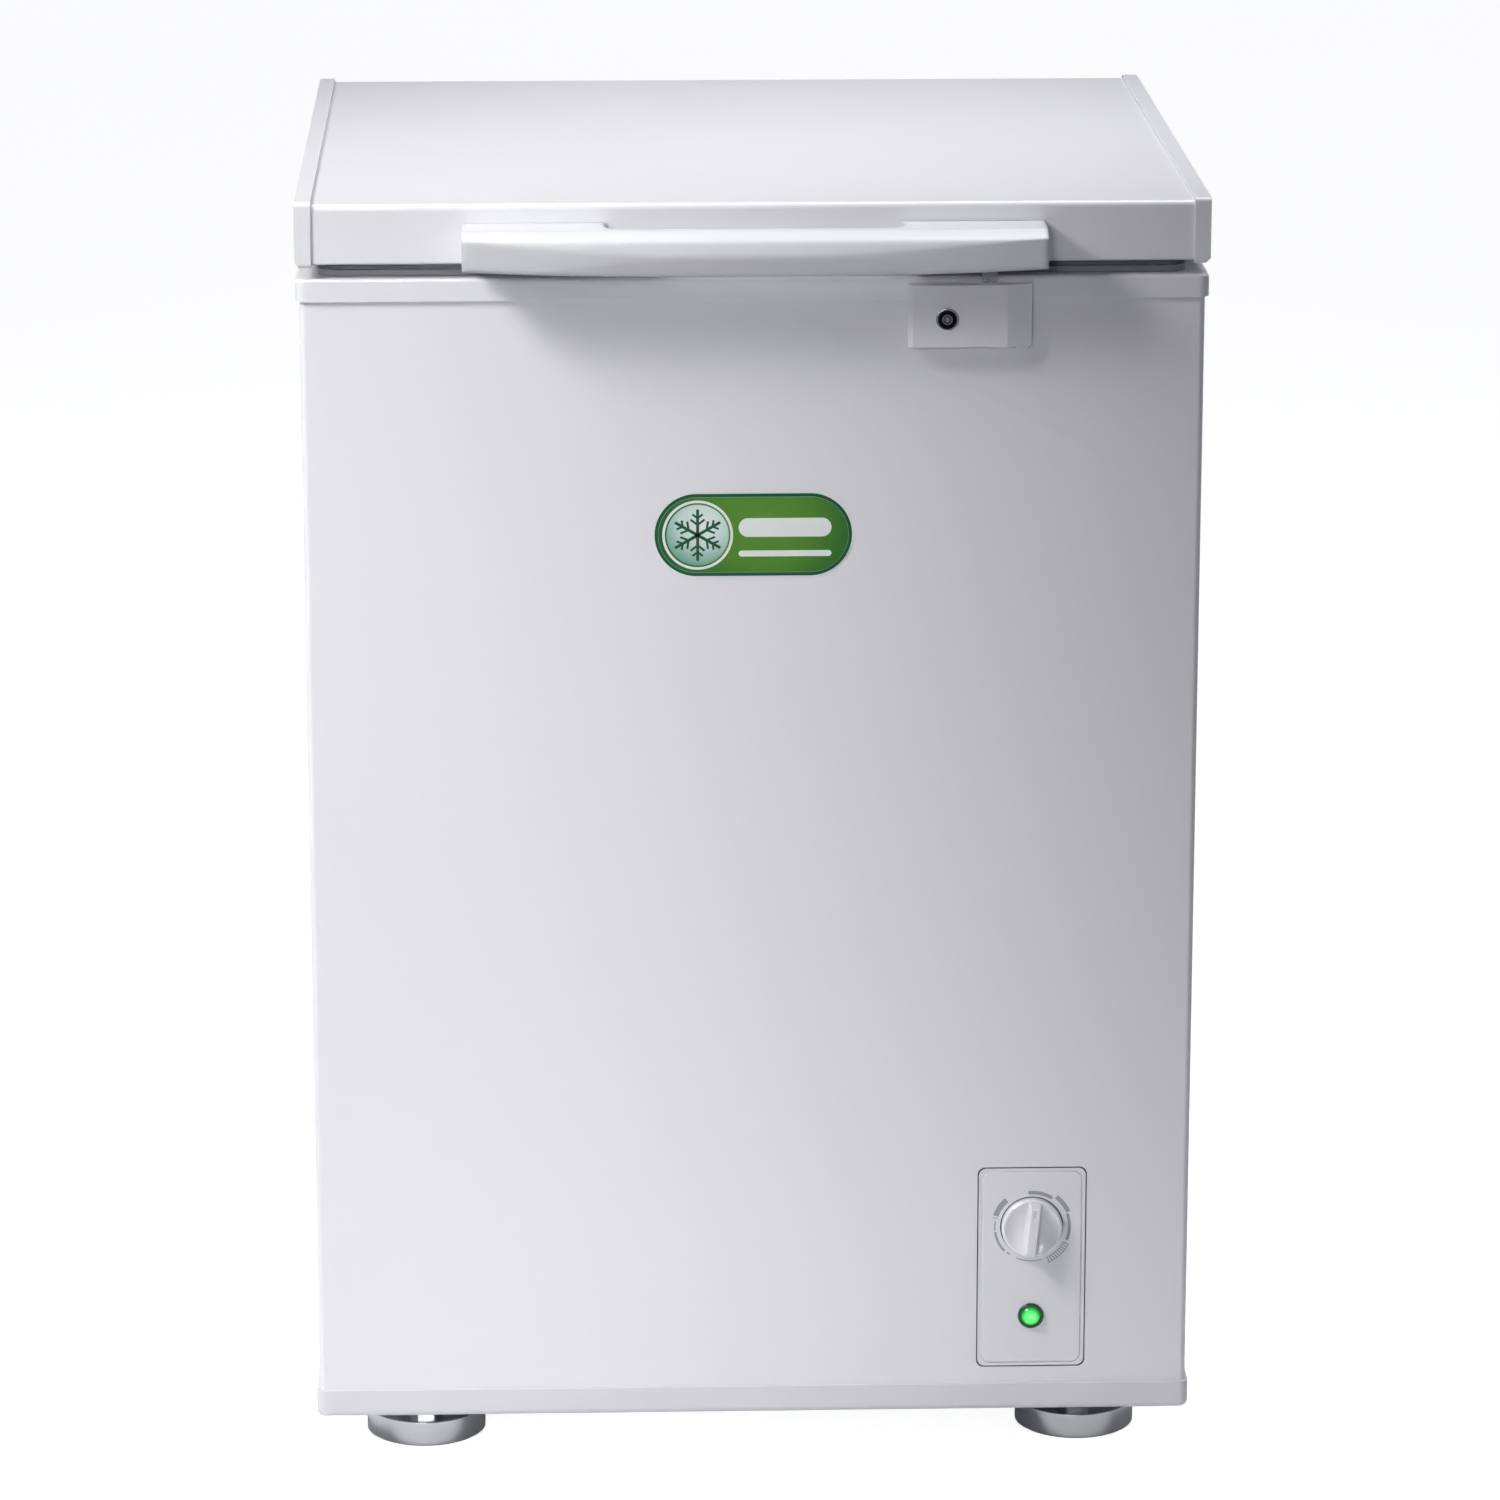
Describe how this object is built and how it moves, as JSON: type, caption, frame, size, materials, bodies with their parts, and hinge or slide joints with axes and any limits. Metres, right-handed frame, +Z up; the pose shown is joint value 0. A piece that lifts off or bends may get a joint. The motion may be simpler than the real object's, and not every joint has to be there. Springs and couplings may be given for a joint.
{
  "type": "chest freezer",
  "caption": "Upright-bodied small chest freezer: foamed steel tub on feet with a hinged top lid, bow handle, key lock, thermostat dial, wire basket and drain.",
  "frame": {"origin": "floor level, under the middle of the overall box", "axes": "+Z up, the longest extent; the front with the handle and the dial faces -Y; +X is the user's right"},
  "size_m": [0.585, 0.5767, 0.85],
  "materials": {
    "white_paint": "satin white paint with a faint orange-peel",
    "white_plastic": "glossy white moulding",
    "lid_liner_plastic": "vacuum-formed white sheet",
    "galvanised": "galvanised sheet",
    "liner_aluminium": "embossed sheet",
    "foam": "rigid foam",
    "gasket_rubber": "soft grey seal",
    "rubber": "matt black",
    "chrome": "bright plated",
    "steel": "zinc plated",
    "vent_plastic": "light moulding",
    "black_paint": "black enamel",
    "coil_steel": "copper-washed tube",
    "coil_aluminium": "drawn tube",
    "copper": "copper",
    "dark_plastic": "dark moulding",
    "lamp_lens": "green lens",
    "label": "printed film",
    "basket_wire": "plastic-dipped wire"
  },
  "bodies": {
    "cabinet": {"outer_wrapper": "white_paint", "back_panel": "galvanised", "base_plate": "galvanised", "bay_panel": "galvanised", "insulation_foam": "foam", "inner_liner": "liner_aluminium", "rim_frame": "white_plastic", "base_trim": "white_plastic", "condenser_coil": "coil_steel", "evaporator_coil": "coil_aluminium", "compressor": "black_paint", "compressor_mount": "galvanised", "compressor_grommets": "rubber", "starter_box": "dark_plastic", "filter_drier": "copper", "suction_line": "copper", "discharge_line": "copper", "side_vent": "vent_plastic", "rear_cover": "galvanised", "cover_screws": "steel", "cord_inlet": "rubber", "control_panel": "white_plastic", "thermostat_body": "dark_plastic", "pilot_lamp_lens": "lamp_lens", "pilot_lamp_bezel": "dark_plastic", "lock_housing": "white_plastic", "lock_bezel": "chrome", "front_label": "label", "drain_pipe": "white_plastic", "foot_nuts": "steel", "hinge_cabinet_leaf_left": "galvanised", "hinge_cabinet_leaf_right": "galvanised", "hinge_pins": "steel", "hinge_cabinet_screws": "steel", "rear_foot_cups": "chrome", "rear_foot_pads": "rubber"},
    "lid": {"lid_panel": "white_paint", "lid_end_cap_left": "white_plastic", "lid_end_cap_right": "white_plastic", "lid_foam": "foam", "lid_liner": "lid_liner_plastic", "lid_gasket": "gasket_rubber", "lid_handle": "white_plastic", "handle_screws": "steel", "lock_catch": "steel", "hinge_lid_leaf_left": "galvanised", "hinge_lid_leaf_right": "galvanised", "hinge_lid_screws": "steel"},
    "thermostat_dial": {"thermostat_knob": "white_plastic", "thermostat_shaft": "steel"},
    "lock_core": {"lock_cylinder": "chrome"},
    "basket": {"basket_frame": "basket_wire", "basket_grids": "basket_wire"},
    "front_foot_left": {"front_foot_cup_left": "chrome", "front_foot_pad_left": "rubber"},
    "front_foot_right": {"front_foot_cup_right": "chrome", "front_foot_pad_right": "rubber"},
    "stopper": {"drain_stopper": "white_plastic"},
    "outlet_cap": {"drain_cap": "white_plastic"}
  },
  "joints": [
    {"name": "lid_hinge", "type": "hinge", "parent": "cabinet", "child": "lid", "pos_m": [0, 0.283, 0.803], "axis": [-1, 0, 0], "range_deg": [0, 85]},
    {"name": "thermostat_turn", "type": "hinge", "parent": "cabinet", "child": "thermostat_dial", "pos_m": [0.1856, -0.2371, 0.157], "axis": [0, 1, 0], "range_deg": [-156, 144]},
    {"name": "lock_turn", "type": "hinge", "parent": "cabinet", "child": "lock_core", "pos_m": [0.1235, -0.242, 0.774], "axis": [0, 1, 0], "range_deg": [0, 90]},
    {"name": "basket_slide", "type": "slide", "parent": "cabinet", "child": "basket", "axis": [1, 0, 0], "range_m": [0, 0.243]},
    {"name": "front_foot_left_screw", "type": "slide", "parent": "cabinet", "child": "front_foot_left", "axis": [0, 0, -1], "range_m": [0, 0.01]},
    {"name": "front_foot_right_screw", "type": "slide", "parent": "cabinet", "child": "front_foot_right", "axis": [0, 0, -1], "range_m": [0, 0.01]},
    {"name": "stopper_lift", "type": "slide", "parent": "cabinet", "child": "stopper", "axis": [0, 0, 1], "range_m": [0, 0.04]},
    {"name": "outlet_cap_pull", "type": "slide", "parent": "cabinet", "child": "outlet_cap", "axis": [-1, 0, 0], "range_m": [0, 0.03]}
  ]
}
